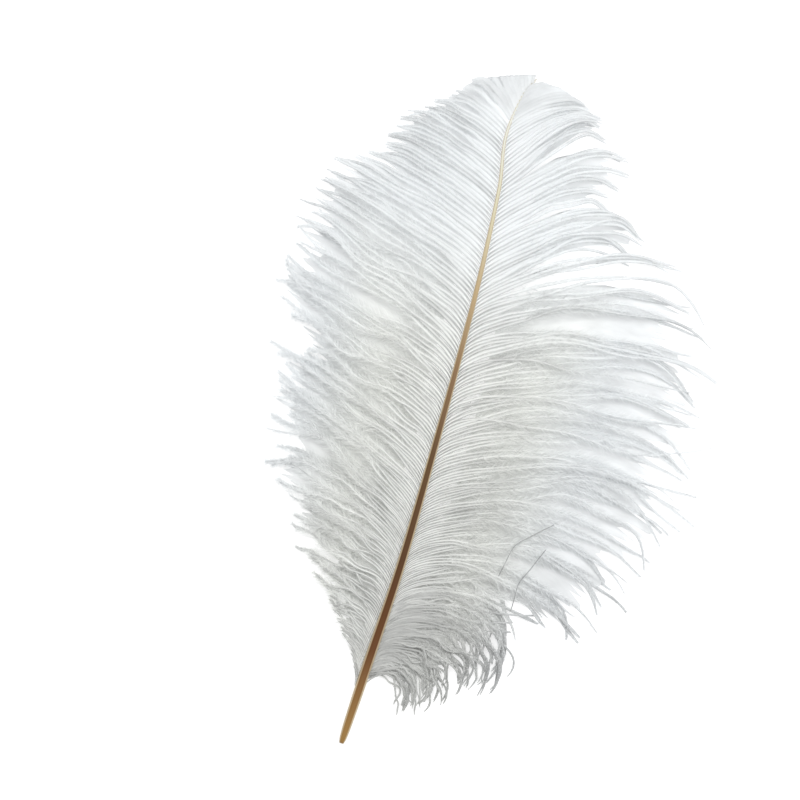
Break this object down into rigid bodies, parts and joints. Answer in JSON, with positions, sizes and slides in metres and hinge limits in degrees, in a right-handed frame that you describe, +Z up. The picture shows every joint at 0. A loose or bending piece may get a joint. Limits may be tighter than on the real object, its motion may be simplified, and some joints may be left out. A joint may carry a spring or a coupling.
{
  "type": "ostrich feather",
  "caption": "Soft white ostrich plume lying on a surface, with a quill that turns from brown to cream and broad vanes of loose drooping barb locks, for trimming and display.",
  "frame": {"origin": "on the surface the plume lies on, under the middle of its bounding box", "axes": "+Y along the quill from its bare end to the tip, +Z up from the surface, +X towards the longer vane"},
  "size_m": [0.1298, 0.1996, 0.0147],
  "materials": {
    "quill_horn": "satin keratin, brown at the bare end and cream towards the tip",
    "plume_white": "soft white barbs with fine downy edges"
  },
  "bodies": {
    "root": {"quill": "quill_horn", "left_vane": "plume_white", "right_vane": "plume_white"}
  },
  "joints": []
}
